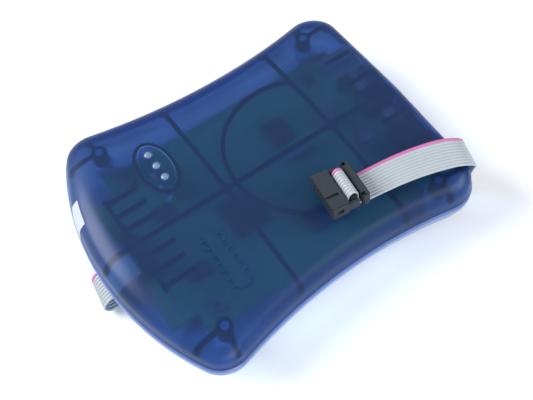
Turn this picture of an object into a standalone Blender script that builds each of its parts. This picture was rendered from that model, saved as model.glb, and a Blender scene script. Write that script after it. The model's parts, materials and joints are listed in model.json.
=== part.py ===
"""Microcontroller programmer with a USB socket: a waisted two-part plastic case on rubber feet, its board,
sockets and power switch, and a ten-way flat cable that passes under the case and over it to its target
socket.

Frame: +Z up, the table at z = 0, +Y towards the narrow end with the sockets, +X to the right of it.
"""
from math import asin, atan2, ceil, cos, hypot, pi, radians, sin, sqrt

import bmesh
import bpy
from mathutils import Matrix, Vector

MM = 0.001
GAP = 0.3  # mm between pieces that touch

# Case outline, mm
CASE_LENGTH = 138.0
WAIST_HALF_WIDTH = 48.0
WAIST_Y = 10.0
SIDE_RADIUS = 215.0
WIDE_END_RADIUS = 104.0
WIDE_CORNER_RADIUS = 12.0
NARROW_CORNER_RADIUS = 13.0
HALF_LENGTH = CASE_LENGTH / 2

# Heights above the table, mm
UNDERSIDE_Z = 3.0
PARTING_Z = 13.5
LIP_HEIGHT = 1.4
LIP_STEP = 0.5
TOP_Z = 28.5
SHOULDER_Z = 20.5
CROWN_X = 0.0016  # drop of the top per square mm of distance from the centre line
CROWN_Y = 0.0002

# Walls, mm
WALL = 2.0
WALL_DRAFT = 0.7
SIDE_SHOULDER = 6.0
WIDE_SHOULDER = 12.0
BASE_TAPER = 1.5
BASE_EDGE = 3.2
RIB_THICKNESS = 1.6
RIB_DEPTH = 1.8  # how far a rib stands in from the wall

# Ribs inside the cover, mm
CROSS_RIB_YS = (-14.2, 34.0)
COMB_XS = (6.4, 13.0, 19.6)
COMB_Y = (-52.4, -40.6)
COMB_BAR_Y = -53.2
END_RIB_XS = (11.1, 24.7)
END_RIB_START_Y = 50.5
RING_CENTRE_Y = 20.0
RING_RADIUS = 29.7
RING_END_Y = 34.0  # the ring is open beyond this line

# Screw bosses, mm: (x, y) on the right-hand side
BOSS_PLACES = ((41.8, 52.3), (42.4, -43.9))
BOSS_RADIUS = 3.0
PILOT_RADIUS = 1.6
PILOT_COVER = 2.2  # plastic left over a pilot hole
SINK_DEPTH = 3.2
SINK_RADIUS = 3.2

# Rubber feet, mm
FOOT_PLACES = {
    "foot_narrow_right": (18.0, 56.0), "foot_narrow_left": (-18.0, 56.0),
    "foot_wide_right": (34.0, -50.0), "foot_wide_left": (-34.0, -50.0),
}
FOOT_RADIUS = 5.0
FOOT_TREAD_RADIUS = 4.3

# Indicator window, mm
WINDOW_X, WINDOW_Y = -23.0, -30.0
WINDOW_LENGTH, WINDOW_WIDTH, WINDOW_DEPTH = 23.0, 12.0, 1.0
PIPE_PITCH = 6.1
PIPE_RADIUS = 1.5

# Chip pictogram on the top, mm
EMBLEM_X, EMBLEM_Y = 24.0, -30.5
EMBLEM_HALF_LENGTH, EMBLEM_HALF_WIDTH = 12.0, 2.4
EMBLEM_RISE = 0.3
EMBLEM_LEGS = 7
EMBLEM_LEG_PITCH = 3.3
EMBLEM_LEG_HALF = 0.55
EMBLEM_LEG_REACH = 1.6

# Seal label, mm
LABEL_X = -23.3
LABEL_HALF_WIDTH = 5.2
LABEL_Z = (15.4, 21.1)
LABEL_THICKNESS = 0.35

# Circuit board, mm
BOARD_Z = 6.5
BOARD_THICKNESS = 1.6
BOARD_TOP = BOARD_Z + BOARD_THICKNESS
BOARD_HALF_WIDTH = 37.5
BOARD_Y = (-56.0, 60.0)
BOARD_SCREWS = ((31.0, 45.0), (31.0, -40.0))

# Sockets and switch in the narrow end, mm
PORT_FACE_Y = 67.0
USB_X, USB_WIDTH, USB_HEIGHT, USB_DEPTH = -24.0, 12.0, 10.8, 16.0
JACK_X, JACK_WIDTH, JACK_HEIGHT, JACK_DEPTH = -4.0, 9.0, 10.8, 14.0
SWITCH_X, SWITCH_WIDTH, SWITCH_HEIGHT, SWITCH_DEPTH = 17.0, 14.0, 9.0, 12.0
ROCKER_TILT = radians(10.0)

# Flat cable, mm: ten wires at 1.27 mm
CABLE_WIDTH = 12.7
CABLE_THICKNESS = 0.9
CABLE_HEADING = radians(17.0)  # from +Y towards +X
CABLE_OFFSET = 19.5  # sideways distance of its line from the case's centre
SLOT_X = -0.5
SLOT_Z = 9.8

# Route of the cable's centre line. Inside and at the wide end: (x, y, z, share of the heading)
CABLE_START = (
    (SLOT_X, -55.0, 12.3, 0.0),
    (SLOT_X, -58.5, 12.2, 0.0),
    (SLOT_X, -61.5, 11.4, 0.0),
    (SLOT_X, -64.3, 10.1, 0.0),
    (SLOT_X, -67.0, 9.6, 0.0),
    (SLOT_X, -69.6, 8.9, 0.2),
    (SLOT_X, -71.3, 7.1, 0.4),
    (SLOT_X, -71.9, 4.9, 0.5),
    (SLOT_X + 0.1, -71.3, 2.6, 0.6),
    (SLOT_X + 0.4, -69.3, 1.1, 0.8),
)
# From under the case to where it turns to its socket: (distance along the cable's line, z, distance across)
CABLE_LINE = (
    (-64.0, 0.75, 0.0), (-56.0, 0.75, -0.3), (-40.0, 0.75, -0.8), (-20.0, 0.75, -1.5), (0.0, 0.75, -2.2),
    (20.0, 0.75, -2.9), (40.0, 0.75, -3.6), (56.0, 0.75, -4.1), (67.0, 0.8, -4.5), (73.6, 1.5, -4.7),
    (77.2, 3.6, -4.7), (79.2, 7.4, -4.7), (79.6, 12.5, -4.5), (79.4, 17.0, -4.0), (78.9, 21.0, -3.0),
    (77.5, 24.6, -1.4), (75.4, 27.8, -0.4), (72.4, 30.2, 0.0), (67.6, 31.8, 0.0), (61.0, 32.4, 0.0),
    (53.0, 32.1, 0.0), (46.0, 31.3, 0.0), (40.0, 30.3, 0.0), (35.4, 29.6, 0.0),
)
# Through the target socket: (distance along the line, z)
CABLE_FOLD = (
    (32.2, 29.35), (30.0, 29.35), (28.5, 29.85), (27.75, 31.35), (27.65, 33.65), (27.45, 35.85),
    (26.6, 37.05), (25.7, 37.4), (24.8, 37.05), (23.95, 35.85), (23.75, 33.65), (23.75, 31.25),
)
# Between these two distances the cable turns sideways and rolls, as its socket lies
TURN_START, TURN_END = 60.0, 36.0
SOCKET_TURN = radians(6.5)
SOCKET_ROLL = radians(9.0)
SOCKET_TILT = radians(3.0)
SOCKET_PIVOT = (31.2, 29.8)  # along the line and up
CABLE_STEP = 4.0  # mm between the strip's sections
CLAMP_CABLE_Z = 12.3  # where the board's connector holds it

# Target socket, mm along the cable's line, across it and up
TARGET_FACE = 16.4
TARGET_BODY_DEPTH = 6.6
TARGET_CABLE_GAP = 1.5
TARGET_COVER_DEPTH = 2.4
TARGET_RELIEF_DEPTH = 2.8
TARGET_WIDTH = 17.3
TARGET_HEIGHT = 6.1
TARGET_Z = 30.4

parts = None
cutters = None


# ---------- scene and materials ----------

def start_scene():
    global parts, cutters
    for old in list(bpy.data.objects):
        bpy.data.objects.remove(old, do_unlink=True)
    parts = bpy.data.collections.new("microcontroller_programmer")
    cutters = bpy.data.collections.new("cutters")
    bpy.context.scene.collection.children.link(parts)
    bpy.context.scene.collection.children.link(cutters)


def material(name, colour, roughness=0.5, metallic=0.0, alpha=1.0):
    found = bpy.data.materials.get(name)
    if found:
        return found
    made = bpy.data.materials.new(name)
    made.use_nodes = True
    shader = made.node_tree.nodes["Principled BSDF"]
    shader.inputs["Base Color"].default_value = (*colour, 1.0)
    shader.inputs["Roughness"].default_value = roughness
    shader.inputs["Metallic"].default_value = metallic
    shader.inputs["Alpha"].default_value = alpha
    return made


def cover_blue():
    return material("frosted_blue_cover", (0.05, 0.13, 0.42), 0.45)


def base_blue():
    return material("frosted_blue_base", (0.07, 0.14, 0.38), 0.5)


def black_plastic():
    return material("black_plastic", (0.03, 0.035, 0.04), 0.5)


def steel():
    return material("bright_steel", (0.7, 0.7, 0.72), 0.3, 1.0)


# ---------- mesh helpers, all in mm ----------

def object_from(bm, name, look=None, place=None):
    """Turns a bmesh in mm into a named object; without a look it is a cutter or a piece to be joined."""
    bmesh.ops.scale(bm, vec=(MM, MM, MM), verts=bm.verts)
    mesh = bpy.data.meshes.new(name)
    bm.to_mesh(mesh)
    bm.free()
    made = bpy.data.objects.new(name, mesh)
    if look is None:
        cutters.objects.link(made)
        made.hide_render = True
        made.display_type = "WIRE"
    else:
        parts.objects.link(made)
        mesh.materials.append(look)
    if place is not None:
        made.matrix_world = place
    return made


def smooth(made, angle=30.0):
    made.data.shade_smooth()
    made.data.set_sharp_from_angle(angle=radians(angle))


def place_at(x, y, z, turn=0.0, axis="Z"):
    return Matrix.Translation(Vector((x, y, z)) * MM) @ Matrix.Rotation(turn, 4, axis)


def box_mesh(low, high):
    bm = bmesh.new()
    bmesh.ops.create_cube(bm, size=1.0)
    low, high = Vector(low), Vector(high)
    bmesh.ops.scale(bm, vec=high - low, verts=bm.verts)
    bmesh.ops.translate(bm, vec=(low + high) / 2, verts=bm.verts)
    return bm


def box(name, low, high, look=None, place=None, edge=0.0):
    bm = box_mesh(low, high)
    if edge:
        bmesh.ops.bevel(bm, geom=bm.edges[:], offset=edge, segments=1, affect="EDGES")
    return object_from(bm, name, look, place)


def cylinder(name, x, y, low, high, radius, look=None, sides=20, place=None, edge=0.0, direction="Z"):
    """A cylinder along Z, or along Y when direction says so: then x and y are its X and Z."""
    bm = bmesh.new()
    bmesh.ops.create_cone(bm, cap_ends=True, segments=sides, radius1=radius, radius2=radius, depth=high - low)
    if edge:
        rims = [e for e in bm.edges if abs(e.verts[0].co.z - e.verts[1].co.z) < 1e-6 and e.verts[0].co.z > 0]
        bmesh.ops.bevel(bm, geom=rims, offset=edge, segments=2, affect="EDGES")
    bmesh.ops.translate(bm, vec=(0, 0, (low + high) / 2), verts=bm.verts)
    if direction == "Y":
        bmesh.ops.rotate(bm, cent=(0, 0, 0), matrix=Matrix.Rotation(-pi / 2, 3, "X"), verts=bm.verts)
        bmesh.ops.translate(bm, vec=(x, 0, y), verts=bm.verts)
    else:
        bmesh.ops.translate(bm, vec=(x, y, 0), verts=bm.verts)
    made = object_from(bm, name, look, place)
    if look is not None:
        smooth(made)
    return made


def join(target, others, operation="UNION"):
    """Adds or takes away the others by one Boolean modifier each."""
    for other in others:
        change = target.modifiers.new(operation.lower() + "_" + other.name, "BOOLEAN")
        change.operation = operation
        change.solver = "EXACT"
        change.object = other
        other.hide_render = True
        other.display_type = "WIRE"


def cut(target, others):
    join(target, others, "DIFFERENCE")


# ---------- case outline ----------

def arc(centre, radius, first, last, count):
    steps = [first + (last - first) * i / count for i in range(count + 1)]
    return [(centre[0] + radius * cos(a), centre[1] + radius * sin(a)) for a in steps]


def right_half(inset, wide_inset):
    """The outline's right half, from the wide end's middle to the narrow end's, moved in by the insets."""
    wide_centre = (0.0, -HALF_LENGTH + WIDE_END_RADIUS)
    wide_radius = WIDE_END_RADIUS - wide_inset
    side_centre = (WAIST_HALF_WIDTH + SIDE_RADIUS, WAIST_Y)
    side_radius = SIDE_RADIUS + inset
    wide_corner = max(WIDE_CORNER_RADIUS - (inset + wide_inset) / 2, 1.5)
    narrow_corner = max(NARROW_CORNER_RADIUS - inset, 1.5)
    # the wide corner's centre lies inside the end's circle and outside the side's circle
    from_wide, from_side = wide_radius - wide_corner, side_radius + wide_corner
    apart = hypot(side_centre[0] - wide_centre[0], side_centre[1] - wide_centre[1])
    along = (apart ** 2 + from_wide ** 2 - from_side ** 2) / (2 * apart)
    across = sqrt(from_wide ** 2 - along ** 2)
    ux, uy = (side_centre[0] - wide_centre[0]) / apart, (side_centre[1] - wide_centre[1]) / apart
    corner_a = (wide_centre[0] + along * ux + across * uy, wide_centre[1] + along * uy - across * ux)
    # the narrow corner's centre lies a radius in from the straight end
    by = HALF_LENGTH - inset - narrow_corner
    bx = side_centre[0] - sqrt((side_radius + narrow_corner) ** 2 - (by - side_centre[1]) ** 2)
    turn_a = atan2(corner_a[1] - wide_centre[1], corner_a[0] - wide_centre[0])
    side_a = atan2(side_centre[1] - corner_a[1], side_centre[0] - corner_a[0])
    side_b = atan2(side_centre[1] - by, side_centre[0] - bx)
    wide = arc(wide_centre, wide_radius, -pi / 2, turn_a, 4)
    corner_1 = arc(corner_a, wide_corner, turn_a, side_a, 4)
    side = arc(side_centre, side_radius, side_a + pi, side_b + pi, 6)
    corner_2 = arc((bx, by), narrow_corner, side_b, pi / 2, 4)
    return wide + corner_1[1:] + side[1:] + corner_2[1:] + [(0.0, HALF_LENGTH - inset)]


def outline(inset, wide_inset):
    right = right_half(inset, wide_inset)
    return right + [(-x, y) for x, y in right[-2:0:-1]]


def crown(x, y):
    return CROWN_X * x * x + CROWN_Y * y * y


def loft(rings):
    """A closed body through rings of (outline, z), bottom up."""
    bm = bmesh.new()
    rows = [[bm.verts.new((x, y, z)) for x, y in points] for points, z in rings]
    for low, high in zip(rows, rows[1:]):
        for i in range(len(low)):
            j = (i + 1) % len(low)
            bm.faces.new((low[i], low[j], high[j], high[i]))
    bm.faces.new(rows[0][::-1])
    bm.faces.new(rows[-1])
    return bm


def slice_top(bm, spacing, reach=44.0):
    """Cuts the top into strips along Y so that it can take the crown."""
    level = max(v.co.z for v in bm.verts)
    x = spacing / 2 - spacing * ceil(reach / spacing)
    while x <= reach:
        flat = [f for f in bm.faces if all(abs(v.co.z - level) < 1e-6 for v in f.verts)]
        around = {e for f in flat for e in f.edges} | {v for f in flat for v in f.verts}
        bmesh.ops.bisect_plane(bm, geom=flat + list(around), plane_co=(x, 0, 0), plane_no=(1, 0, 0),
                               dist=1e-5)
        x += spacing


def cover_body(depth, low, steps=5, spacing=10.0):
    """The cover's outer shape, or one that lies so many mm under it, filled from the given height up."""
    wall_z = PARTING_Z + GAP / 2 + LIP_HEIGHT + LIP_STEP
    if depth == 0:
        rings = [(outline(0, 0), low), (outline(0, 0), wall_z - LIP_STEP),
                 (outline(LIP_STEP, LIP_STEP), wall_z)]
    else:
        rings = [(outline(LIP_STEP + depth, LIP_STEP + depth), low)]
    foot = LIP_STEP + WALL_DRAFT + depth
    side, wide, rise = SIDE_SHOULDER - depth, WIDE_SHOULDER - depth, TOP_Z - SHOULDER_Z - depth
    for step in range(steps + 1):
        turn = pi / 2 * step / steps
        inset, wide_inset = foot + side * (1 - cos(turn)), foot + wide * (1 - cos(turn))
        rings.append((outline(inset, wide_inset), SHOULDER_Z + rise * sin(turn)))
    bm = loft(rings)
    slice_top(bm, spacing)
    for v in bm.verts:
        share = max(0.0, (v.co.z - wall_z) / (TOP_Z - depth - wall_z))
        v.co.z -= share * crown(v.co.x, v.co.y)
    bmesh.ops.triangulate(bm, faces=bm.faces[:])
    return bm


def base_body(depth, high):
    """The lower shell's outer shape, or one so many mm inside it: a leaning wall and a rounded lower edge."""
    wall_top = PARTING_Z - GAP / 2 - LIP_HEIGHT
    floor, edge = UNDERSIDE_Z + depth, BASE_EDGE - depth
    rings = []
    for step in range(4):
        turn = pi / 2 * (1 - step / 3)
        inset = LIP_STEP + BASE_TAPER + depth + edge * (1 - cos(turn))
        rings.append((outline(inset, inset), floor + edge * (1 - sin(turn))))
    if depth == 0:
        rings.append((outline(LIP_STEP, LIP_STEP), wall_top - LIP_STEP))
        rings += [(outline(0, 0), wall_top), (outline(0, 0), high)]
    else:
        rings += [(outline(LIP_STEP + depth, LIP_STEP + depth), z) for z in (wall_top - LIP_STEP, high)]
    bm = loft(rings)
    bmesh.ops.triangulate(bm, faces=bm.faces[:])
    return bm


# ---------- case ----------

def mirrored(places):
    return [(side * x, y) for x, y in places for side in (1, -1)]


def rib(name, start, end, low=16.5, high=TOP_Z + 2, thickness=RIB_THICKNESS):
    """An upright plate from one point to another, to be trimmed to the cover's inside."""
    (x0, y0), (x1, y1) = start, end
    long = hypot(x1 - x0, y1 - y0)
    place = place_at((x0 + x1) / 2, (y0 + y1) / 2, 0, atan2(y1 - y0, x1 - x0))
    return box(name, (-long / 2, -thickness / 2, low), (long / 2, thickness / 2, high), place=place)


def ring_plate(name):
    outer, inner = RING_RADIUS + RIB_THICKNESS / 2, RING_RADIUS - RIB_THICKNESS / 2
    low, high = 21.0, TOP_Z + 3
    ring = cylinder(name, 0, RING_CENTRE_Y, low + 1, high - 1, outer, sides=30)
    hole = cylinder(name + "_hole", 0, RING_CENTRE_Y, low, high, inner, sides=30)
    rest = box(name + "_rest", (-RING_RADIUS - 5, RING_END_Y, low), (RING_RADIUS + 5, HALF_LENGTH, high))
    cut(ring, [hole, rest])
    return ring


def cover_ribs():
    """Every rib of the cover as one piece: plates trimmed to a layer just inside the outer surface."""
    reach = HALF_LENGTH + 5
    ribs = rib("rib_centre", (0, -reach), (0, reach))
    others = [rib(f"rib_cross_{i}", (-60, y), (60, y)) for i, y in enumerate(CROSS_RIB_YS)]
    for x in COMB_XS:
        for side in (1, -1):
            start, end = (side * x, COMB_Y[0] - 1), (side * x, COMB_Y[1])
            others.append(rib(f"rib_comb_{side * x:.0f}", start, end, 20.0))
    edge = COMB_XS[-1] + 2
    others.append(rib("rib_comb_bar", (-edge, COMB_BAR_Y), (edge, COMB_BAR_Y), 20.0))
    for x in END_RIB_XS:
        for side in (1, -1):
            start, end = (side * x, END_RIB_START_Y), (side * x, HALF_LENGTH + 4)
            others.append(rib(f"rib_end_{side * x:.0f}", start, end))
    for i, (x, y) in enumerate(mirrored(BOSS_PLACES)):
        outward = 1 if x > 0 else -1
        endward = 1 if y > 0 else -1
        others.append(rib(f"gusset_side_{i}", (x, y), (x + outward * 16, y + endward * 2)))
        others.append(rib(f"gusset_end_{i}", (x, y), (x + outward * 1, y + endward * 22)))
    others.append(ring_plate("rib_ring"))
    join(ribs, others)
    outside = object_from(cover_body(1.0, PARTING_Z + 3.0, steps=3, spacing=17.0), "rib_outside")
    join(ribs, [outside], "INTERSECT")
    cut(ribs, [object_from(cover_body(WALL + RIB_DEPTH, PARTING_Z, steps=3, spacing=17.0), "rib_inside")])
    return ribs


def window_cutter():
    """The indicator window's shallow oval, tilted with the crowned top."""
    slope = atan2(-2 * CROWN_X * WINDOW_X, 1)
    surface = TOP_Z - crown(WINDOW_X, WINDOW_Y)
    bm = bmesh.new()
    bmesh.ops.create_cone(bm, cap_ends=True, segments=32, radius1=0.44, radius2=0.5, depth=1.0)
    bmesh.ops.scale(bm, vec=(WINDOW_LENGTH, WINDOW_WIDTH, 3.0), verts=bm.verts)
    bmesh.ops.translate(bm, vec=(0, 0, 1.5 - WINDOW_DEPTH), verts=bm.verts)
    return object_from(bm, "window_cutter", place=place_at(WINDOW_X, WINDOW_Y, surface, -slope, "Y"))


def pipe_xs():
    return [WINDOW_X + i * PIPE_PITCH for i in (-1, 0, 1)]


def emblem():
    """A generic chip pictogram raised on the top: a long body with two rows of legs, following the crown."""
    x, y = EMBLEM_X, EMBLEM_Y
    top = TOP_Z - crown(x, y)
    half, reach = EMBLEM_HALF_WIDTH, EMBLEM_HALF_WIDTH + EMBLEM_LEG_REACH
    shapes = [((x - EMBLEM_HALF_LENGTH, y - half, top - 1.2),
               (x + EMBLEM_HALF_LENGTH, y + half, top + EMBLEM_RISE))]
    for i in range(EMBLEM_LEGS):
        leg = x + (i - (EMBLEM_LEGS - 1) / 2) * EMBLEM_LEG_PITCH
        shapes.append(((leg - EMBLEM_LEG_HALF, y - reach, top - 1.3),
                       (leg + EMBLEM_LEG_HALF, y + reach, top + EMBLEM_RISE - 0.12)))
    made = []
    for i, (low, high) in enumerate(shapes):
        bm = box_mesh(low, high)
        lengthways = [e for e in bm.edges if abs(e.verts[0].co.x - e.verts[1].co.x) > 2 * EMBLEM_HALF_WIDTH]
        bmesh.ops.subdivide_edges(bm, edges=lengthways, cuts=3)
        for v in bm.verts:
            v.co.z -= crown(v.co.x, v.co.y) - crown(x, y)
        bmesh.ops.triangulate(bm, faces=bm.faces[:])
        made.append(object_from(bm, f"emblem_{i}"))
    return made


def port_openings(clearance=0.5):
    floor = BOARD_TOP + GAP - clearance
    made = []
    ports = (("usb", USB_X, USB_WIDTH, USB_HEIGHT), ("jack", JACK_X, JACK_WIDTH, JACK_HEIGHT),
             ("switch", SWITCH_X, SWITCH_WIDTH, SWITCH_HEIGHT))
    for name, x, width, height in ports:
        half = width / 2 + clearance
        made.append(box(f"{name}_opening", (x - half, PORT_FACE_Y - 12, floor),
                        (x + half, HALF_LENGTH + 4, floor + height + 2 * clearance)))
    return made


def cover_bosses():
    return [cylinder(f"boss_{i}", x, y, PARTING_Z + GAP / 2 + 0.6, TOP_Z - crown(x, y) - 1.0, BOSS_RADIUS)
            for i, (x, y) in enumerate(mirrored(BOSS_PLACES))]


def top_cover(openings):
    low = PARTING_Z + GAP / 2
    cover = object_from(cover_body(0, low), "top_cover", cover_blue())
    cut(cover, [object_from(cover_body(WALL, low - 2), "cover_hollow")])
    join(cover, [cover_ribs()] + cover_bosses())
    join(cover, emblem())
    holes = [cylinder(f"pilot_{i}", x, y, PARTING_Z - 1, TOP_Z - crown(x, y) - PILOT_COVER, PILOT_RADIUS,
                      sides=12)
             for i, (x, y) in enumerate(mirrored(BOSS_PLACES))]
    holes += [cylinder(f"pipe_hole_{i}", x, WINDOW_Y, 20.0, TOP_Z + 2, PIPE_RADIUS + GAP, sides=16)
              for i, x in enumerate(pipe_xs())]
    cut(cover, holes + [window_cutter()] + openings)
    smooth(cover)


def bottom_shell(openings):
    high = PARTING_Z - GAP / 2
    shell = object_from(base_body(0, high), "bottom_shell", base_blue())
    cut(shell, [object_from(base_body(WALL, high + 2), "base_hollow")])
    floor = UNDERSIDE_Z + WALL - 1.0
    pillars = [cylinder(f"pillar_{i}", x, y, floor, PARTING_Z, SINK_RADIUS + 1.0)
               for i, (x, y) in enumerate(mirrored(BOSS_PLACES))]
    pillars += [cylinder(f"standoff_{i}", x, y, floor, BOARD_Z - GAP, 2.6, sides=16)
                for i, (x, y) in enumerate(mirrored(BOARD_SCREWS))]
    join(shell, pillars)
    slot = box("cable_slot", (SLOT_X - CABLE_WIDTH / 2 - 1.2, -HALF_LENGTH - 5, SLOT_Z - 1.9),
               (SLOT_X + CABLE_WIDTH / 2 + 1.2, -HALF_LENGTH + 12, SLOT_Z + 1.4))
    holes = [cylinder(f"screw_hole_{i}", x, y, UNDERSIDE_Z - 2, PARTING_Z + 2, PILOT_RADIUS + 0.2, sides=12)
             for i, (x, y) in enumerate(mirrored(BOSS_PLACES))]
    holes += [cylinder(f"screw_sink_{i}", x, y, UNDERSIDE_Z - 2, UNDERSIDE_Z + SINK_DEPTH, SINK_RADIUS)
              for i, (x, y) in enumerate(mirrored(BOSS_PLACES))]
    holes += [cylinder(f"standoff_hole_{i}", x, y, UNDERSIDE_Z + 1.2, BOARD_Z + 1, 1.4, sides=12)
              for i, (x, y) in enumerate(mirrored(BOARD_SCREWS))]
    cut(shell, [slot] + holes + openings)
    smooth(shell)


def screw(name, x, y, head_z, shaft_top, head_radius, head_height, shaft_radius, look, head_up=False):
    """A screw with a cross recess. Its head is at the bottom, or on top when head_up."""
    bm = bmesh.new()
    bmesh.ops.create_cone(bm, cap_ends=True, segments=20, radius1=head_radius, radius2=head_radius,
                          depth=head_height)
    bmesh.ops.translate(bm, vec=(0, 0, head_height / 2), verts=bm.verts)
    made = object_from(bm, name, look)
    shaft = cylinder(name + "_shaft", 0, 0, head_height / 2, shaft_top, shaft_radius, sides=12)
    join(made, [shaft])
    reach, half, deep = head_radius * 0.62, head_radius * 0.13, head_height * 0.45
    cut(made, [box(name + "_slot_a", (-reach, -half, -1), (reach, half, deep)),
               box(name + "_slot_b", (-half, -reach, -1), (half, reach, deep + 0.05))])
    turn = pi if head_up else 0.0
    made.matrix_world = place_at(x, y, head_z, turn, "X")
    for piece in [m.object for m in made.modifiers]:
        piece.matrix_world = made.matrix_world
    smooth(made)
    return made


def case_screws():
    zinc = material("zinc_screw", (0.55, 0.56, 0.58), 0.35, 1.0)
    names = ("case_screw_narrow_right", "case_screw_narrow_left", "case_screw_wide_right",
             "case_screw_wide_left")
    for name, (x, y) in zip(names, mirrored(BOSS_PLACES)):
        screw(name, x, y, UNDERSIDE_Z + SINK_DEPTH - 2.0 - GAP, 16.0, 2.8, 2.0, 1.25, zinc)


def rubber_feet():
    rubber = material("black_rubber", (0.02, 0.02, 0.02), 0.8)
    height = UNDERSIDE_Z - GAP
    for name, (x, y) in FOOT_PLACES.items():
        bm = bmesh.new()
        bmesh.ops.create_cone(bm, cap_ends=True, segments=24, radius1=FOOT_TREAD_RADIUS, radius2=FOOT_RADIUS,
                              depth=height)
        bmesh.ops.translate(bm, vec=(x, y, height / 2), verts=bm.verts)
        smooth(object_from(bm, name, rubber))


def seal_label():
    """A paper seal on the wide end's wall, just above the joint of the two shells."""
    paper = material("white_paper", (0.85, 0.86, 0.88), 0.7)
    radius = WIDE_END_RADIUS - LIP_STEP
    turn = asin(LABEL_X / radius)
    proud = 1.003  # clear of the wall between its flat facets
    place = place_at(LABEL_X * proud, WIDE_END_RADIUS - HALF_LENGTH - radius * cos(turn) * proud, 0, turn)
    low, high = LABEL_Z
    box("seal_label", (-LABEL_HALF_WIDTH, -LABEL_THICKNESS, low), (LABEL_HALF_WIDTH, 0.0, high), paper, place)


# ---------- circuit board ----------

def circuit_board():
    green = material("circuit_board_green", (0.02, 0.16, 0.09), 0.5)
    board = box("circuit_board", (-BOARD_HALF_WIDTH, BOARD_Y[0], BOARD_Z),
                (BOARD_HALF_WIDTH, BOARD_Y[1], BOARD_TOP), green)
    corner = 9.0
    cuts = []
    for side in (1, -1):
        low_x, high_x = sorted((side * (BOARD_HALF_WIDTH - corner), side * (BOARD_HALF_WIDTH + 1)))
        cuts.append(box(f"board_corner_{side + 1}", (low_x, BOARD_Y[0] - 1, BOARD_Z - 1),
                        (high_x, BOARD_Y[0] + corner, BOARD_TOP + 1)))
    cuts += [cylinder(f"board_hole_{i}", x, y, BOARD_Z - 1, BOARD_TOP + 1, 1.6, sides=12)
             for i, (x, y) in enumerate(mirrored(BOARD_SCREWS))]
    cut(board, cuts)
    plated = material("board_screw_steel", (0.6, 0.6, 0.6), 0.35, 1.0)
    names = ("board_screw_narrow_right", "board_screw_narrow_left", "board_screw_wide_right",
             "board_screw_wide_left")
    for name, (x, y) in zip(names, mirrored(BOARD_SCREWS)):
        screw(name, x, y, BOARD_TOP + GAP + 1.6, 4.6, 2.3, 1.6, 1.05, plated, head_up=True)


def chip(name, x, y, width, length, height, pins_per_side, look):
    """A surface-mounted chip: a bevelled body with its legs joined on as two rows of short bars."""
    z = BOARD_TOP + GAP
    low, high = (x - width / 2, y - length / 2, z + 0.1), (x + width / 2, y + length / 2, z + height)
    body = box(name, low, high, look, edge=0.25)
    pitch = length / (pins_per_side + 0.5)
    legs = []
    for i in range(pins_per_side):
        along = y + (i - (pins_per_side - 1) / 2) * pitch
        legs.append(box(f"{name}_leg_{i}", (x - width / 2 - 1.0, along - pitch * 0.22, z),
                        (x + width / 2 + 1.0, along + pitch * 0.22, z + height * 0.45)))
    join(body, legs)


def board_parts():
    black = material("chip_black", (0.02, 0.02, 0.022), 0.45)
    z = BOARD_TOP + GAP
    chip("main_controller", 6.0, -12.0, 14.0, 14.0, 1.3, 8, black)
    chip("usb_controller", -16.0, 20.0, 10.0, 10.0, 1.3, 6, black)
    chip("memory_chip", 24.0, 14.0, 7.6, 17.0, 2.2, 6, black)
    chip("level_shifter_left", -12.0, -36.0, 4.0, 8.6, 1.6, 5, black)
    chip("level_shifter_right", 16.0, -38.0, 4.0, 8.6, 1.6, 5, black)
    box("voltage_regulator", (19.0, 36.0, z), (29.0, 42.5, z + 4.4), black, edge=0.3)
    aluminium = material("capacitor_aluminium", (0.75, 0.76, 0.78), 0.3, 1.0)
    cylinder("capacitor_large", 8.0, 44.0, z, z + 10.5, 4.0, aluminium, 24, edge=0.5)
    cylinder("capacitor_small", -8.5, 40.0, z, z + 7.0, 3.15, aluminium, 24, edge=0.5)
    box("crystal_can", (-6.0, 15.0, z), (-2.0, 26.0, z + 3.6), steel(), edge=0.8)


def indicator_lights():
    lens = material("clear_light_pipe", (0.9, 0.93, 0.95), 0.1, alpha=0.6)
    led = material("led_white", (0.85, 0.85, 0.8), 0.4)
    z = BOARD_TOP + GAP
    for name, x in zip(("left", "middle", "right"), pipe_xs()):
        box(f"indicator_led_{name}", (x - 1.6, WINDOW_Y - 1.0, z), (x + 1.6, WINDOW_Y + 1.0, z + 1.4), led)
        top = TOP_Z - crown(x, WINDOW_Y) - 0.5
        cylinder(f"light_pipe_{name}", x, WINDOW_Y, z + 1.4 + GAP, top, PIPE_RADIUS, lens, 20, edge=0.5)


def cable_clamp():
    """The board's crimp connector: a base on the board and a cover, with the flat cable between them."""
    half, arm, y0, y1 = TARGET_WIDTH / 2, 1.4, -55.2, -49.0
    cable_low, cable_high = CLAMP_CABLE_Z - CABLE_THICKNESS / 2, CLAMP_CABLE_Z + CABLE_THICKNESS / 2
    base = box("cable_connector_base", (SLOT_X - half, y0, BOARD_TOP + GAP),
               (SLOT_X + half, y1, cable_low - GAP), black_plastic())
    arms = []
    for side in (1, -1):
        low_x, high_x = sorted((SLOT_X + side * half, SLOT_X + side * (half - arm)))
        arms.append(box(f"cable_connector_arm_{side + 1}", (low_x, y0 + 1, cable_low - 1.5),
                        (high_x, y1 - 1, cable_high + 2.0)))
    join(base, arms)
    box("cable_connector_cover", (SLOT_X - 7.0, y0, cable_high + GAP),
        (SLOT_X + 7.0, y1, cable_high + GAP + 2.4), black_plastic(), edge=0.3)


# ---------- sockets and switch ----------

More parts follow.
